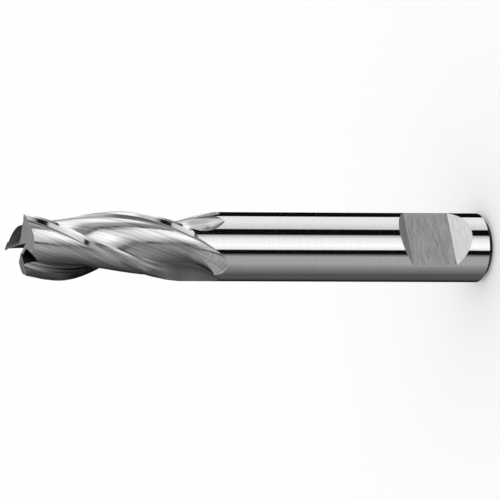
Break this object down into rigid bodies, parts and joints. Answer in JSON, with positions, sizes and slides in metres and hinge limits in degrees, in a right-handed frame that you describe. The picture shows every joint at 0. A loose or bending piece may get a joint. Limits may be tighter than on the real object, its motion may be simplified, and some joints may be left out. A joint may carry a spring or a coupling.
{
  "type": "end mill",
  "caption": "Solid steel flat-end milling cutter with right-hand helical flutes, end teeth that cut across the centre, and a plain cylindrical shank with a side-lock flat.",
  "frame": {"origin": "centre of the shank's end face, on the tool's axis", "axes": "+Z along the tool's axis towards the cutting end, -Y out of the shank's drive flat, +X to the right when the flat faces the viewer"},
  "size_m": [0.01, 0.01, 0.073],
  "materials": {
    "tool_steel": "ground"
  },
  "bodies": {
    "root": {"endmill": "tool_steel"}
  },
  "joints": []
}
